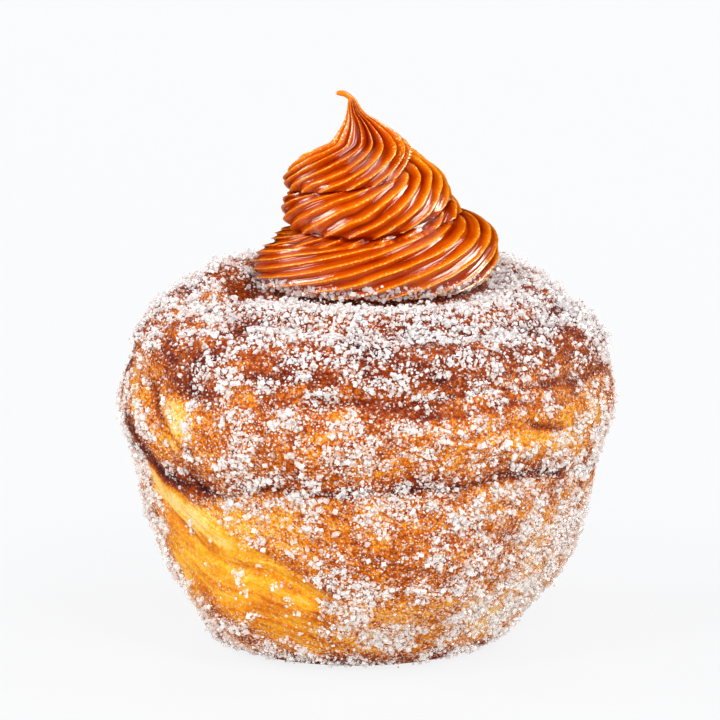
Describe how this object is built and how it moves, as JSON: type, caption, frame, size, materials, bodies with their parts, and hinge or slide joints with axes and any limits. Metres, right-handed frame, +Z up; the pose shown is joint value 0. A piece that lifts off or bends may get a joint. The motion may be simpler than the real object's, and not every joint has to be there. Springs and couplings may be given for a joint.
{
  "type": "cruffin",
  "caption": "Muffin-shaped coil of laminated pastry in a coarse sugar coat, with a ridged swirl of caramel cream piped on top.",
  "frame": {"origin": "middle of the flat base that the pastry stands on", "axes": "+Z up through the swirl's tip, -Y towards the side that the picture shows, +X to the picture's right"},
  "size_m": [0.0767, 0.077, 0.0865],
  "materials": {
    "crust": "browned laminated crust, satin",
    "caramel": "glossy caramel cream",
    "sugar": "clear to milky sugar crystals"
  },
  "bodies": {
    "root": {"pastry": "crust", "caramel_swirl": "caramel"}
  },
  "joints": []
}
